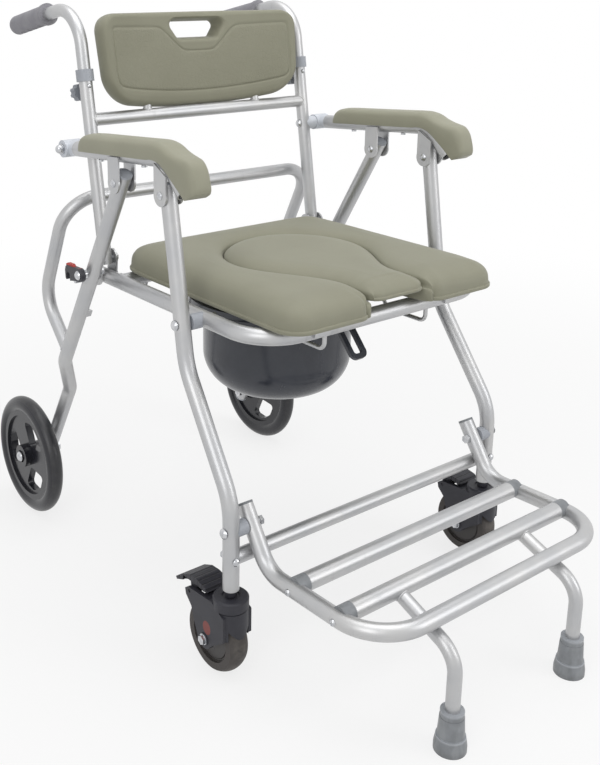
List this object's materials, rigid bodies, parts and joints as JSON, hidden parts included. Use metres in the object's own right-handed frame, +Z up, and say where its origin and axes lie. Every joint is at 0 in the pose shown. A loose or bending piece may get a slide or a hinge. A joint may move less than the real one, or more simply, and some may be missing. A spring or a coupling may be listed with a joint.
{
  "type": "shower commode chair",
  "caption": "Folding wheeled shower commode chair with padded seat, slide-out pan, padded arms, push handles and a flip-up slatted footrest.",
  "frame": {"origin": "middle of the footprint, on the floor", "axes": "+Z up, sitter faces -Y, +X to the sitter's left"},
  "size_m": [0.552, 0.9399, 0.8478],
  "materials": {
    "frame_tube": "satin silver",
    "fastener": "bright plated",
    "grey_plastic": "matt grey",
    "pad_foam": "soft satin skin",
    "black_plastic": "fine satin",
    "wheel_rubber": "smooth satin"
  },
  "bodies": {
    "seat": {"seat_frame": "frame_tube", "pan_rails": "frame_tube", "rail_plugs": "grey_plastic", "seat_bolts": "fastener", "seat_spacers": "grey_plastic", "back_brackets": "frame_tube", "back_bolts": "fastener", "stop_pins": "fastener", "pad_clips": "black_plastic", "seat_pad": "pad_foam"},
    "insert": {"seat_insert": "pad_foam"},
    "pan": {"commode_pan": "black_plastic"},
    "pan_bail": {"pan_handle": "black_plastic"},
    "back": {"back_frame": "frame_tube", "backrest_stubs": "frame_tube", "backrest_pad": "pad_foam", "post_collars": "grey_plastic", "arm_hinge_bolts": "fastener", "arm_spacers": "grey_plastic"},
    "handle_r": {"push_handle_r": "frame_tube", "grip_r": "grey_plastic"},
    "handle_l": {"push_handle_l": "frame_tube", "grip_l": "grey_plastic"},
    "button_r": {"handle_button_r": "fastener"},
    "button_l": {"handle_button_l": "fastener"},
    "knob_r": {"handle_knob_r": "grey_plastic"},
    "knob_l": {"handle_knob_l": "grey_plastic"},
    "arms": {"arm_tubes": "frame_tube", "arm_knuckles": "grey_plastic", "arm_pad_r": "pad_foam", "arm_pad_l": "pad_foam", "arm_brackets": "frame_tube", "arm_pins": "fastener", "arm_screws": "fastener"},
    "front_legs": {"front_leg_r": "frame_tube", "front_leg_l": "frame_tube", "front_cross_bar": "frame_tube", "cross_bar_bolts": "fastener", "footrest_bolts": "fastener", "footrest_spacers": "grey_plastic", "front_leg_plugs": "grey_plastic", "caster_stems": "black_plastic"},
    "caster_r": {"caster_fork_r": "black_plastic", "caster_axles_r": "fastener"},
    "caster_l": {"caster_fork_l": "black_plastic", "caster_axles_l": "fastener"},
    "pedal_r": {"brake_pedal_r": "black_plastic"},
    "pedal_l": {"brake_pedal_l": "black_plastic"},
    "front_wheel_r": {"caster_wheel_r": "wheel_rubber"},
    "front_wheel_l": {"caster_wheel_l": "wheel_rubber"},
    "rear_frame": {"rear_legs": "frame_tube", "rear_hoop": "frame_tube", "rear_leg_plugs": "grey_plastic", "rear_axles": "fastener"},
    "back_wheel_r": {"rear_wheel_r": "wheel_rubber"},
    "back_wheel_l": {"rear_wheel_l": "wheel_rubber"},
    "latch": {"latch_hook": "black_plastic"},
    "footrest": {"footrest_frame": "frame_tube", "footrest_slats": "frame_tube", "foot_tips": "grey_plastic"}
  },
  "joints": [
    {"name": "fold", "type": "hinge", "parent": "seat", "child": "back", "pos_m": [0, 0.175, 0.482], "axis": [-1, 0, 0], "range_deg": [0, 50]},
    {"name": "arm_fold", "type": "hinge", "parent": "back", "child": "arms", "pos_m": [0, 0.202, 0.647], "axis": [-1, 0, 0], "range_deg": [-50, 0]},
    {"name": "front_leg_fold", "type": "hinge", "parent": "seat", "child": "front_legs", "pos_m": [0, -0.077, 0.455], "axis": [-1, 0, 0], "range_deg": [0, 50]},
    {"name": "rear_leg_fold", "type": "hinge", "parent": "arms", "child": "rear_frame", "pos_m": [0, 0.063, 0.618], "axis": [-1, 0, 0], "range_deg": [0, 80]},
    {"name": "footrest_flip", "type": "hinge", "parent": "front_legs", "child": "footrest", "pos_m": [0, -0.19, 0.212], "axis": [1, 0, 0], "range_deg": [-90, 0]},
    {"name": "pan_slide", "type": "slide", "parent": "seat", "child": "pan", "axis": [0, -1, 0], "range_m": [-0.24, 0]},
    {"name": "bail_swing", "type": "hinge", "parent": "pan", "child": "pan_bail", "pos_m": [0, -0.122, 0.4193], "axis": [1, 0, 0], "range_deg": [-40, 35]},
    {"name": "insert_lift", "type": "slide", "parent": "seat", "child": "insert", "axis": [0, 0, -1], "range_m": [-0.07, 0]},
    {"name": "handle_height_r", "type": "slide", "parent": "back", "child": "handle_r", "axis": [0, 0.1615, 0.9869], "range_m": [0, 0.05]},
    {"name": "button_press_r", "type": "slide", "parent": "back", "child": "button_r", "axis": [0, -0.9869, 0.1615], "range_m": [-0.002, 0], "stiffness_N_per_m": 600},
    {"name": "knob_turn_r", "type": "hinge", "parent": "back", "child": "knob_r", "pos_m": [-0.205, 0.21476, 0.725], "axis": [0, 0.9869, -0.1615], "continuous": true},
    {"name": "caster_swivel_r", "type": "hinge", "parent": "front_legs", "child": "caster_r", "pos_m": [-0.247, -0.19, 0.11], "axis": [0, 0, 1], "continuous": true},
    {"name": "front_roll_r", "type": "hinge", "parent": "caster_r", "child": "front_wheel_r", "pos_m": [-0.247, -0.163, 0.05], "axis": [1, 0, 0], "continuous": true},
    {"name": "brake_press_r", "type": "hinge", "parent": "caster_r", "child": "pedal_r", "pos_m": [-0.247, -0.13, 0.104], "axis": [1, 0, 0], "range_deg": [-8, 0]},
    {"name": "rear_roll_r", "type": "hinge", "parent": "rear_frame", "child": "back_wheel_r", "pos_m": [-0.25, 0.37, 0.1], "axis": [1, 0, 0], "continuous": true},
    {"name": "handle_height_l", "type": "slide", "parent": "back", "child": "handle_l", "axis": [0, 0.1615, 0.9869], "range_m": [0, 0.05]},
    {"name": "button_press_l", "type": "slide", "parent": "back", "child": "button_l", "axis": [0, -0.9869, 0.1615], "range_m": [-0.002, 0], "stiffness_N_per_m": 600},
    {"name": "knob_turn_l", "type": "hinge", "parent": "back", "child": "knob_l", "pos_m": [0.205, 0.21476, 0.725], "axis": [0, 0.9869, -0.1615], "continuous": true},
    {"name": "caster_swivel_l", "type": "hinge", "parent": "front_legs", "child": "caster_l", "pos_m": [0.247, -0.19, 0.11], "axis": [0, 0, 1], "continuous": true},
    {"name": "front_roll_l", "type": "hinge", "parent": "caster_l", "child": "front_wheel_l", "pos_m": [0.247, -0.163, 0.05], "axis": [1, 0, 0], "continuous": true},
    {"name": "brake_press_l", "type": "hinge", "parent": "caster_l", "child": "pedal_l", "pos_m": [0.247, -0.13, 0.104], "axis": [1, 0, 0], "range_deg": [-8, 0]},
    {"name": "rear_roll_l", "type": "hinge", "parent": "rear_frame", "child": "back_wheel_l", "pos_m": [0.25, 0.37, 0.1], "axis": [1, 0, 0], "continuous": true},
    {"name": "latch_turn", "type": "hinge", "parent": "rear_frame", "child": "latch", "pos_m": [-0.26, 0.15012, 0.471], "axis": [1, 0, 0], "range_deg": [-22, 60]}
  ],
  "couplings": [
    {"joint": "arm_fold", "follows": "fold", "ratio": -1},
    {"joint": "front_leg_fold", "follows": "fold", "ratio": 1},
    {"joint": "rear_leg_fold", "follows": "fold", "ratio": 1.6}
  ]
}
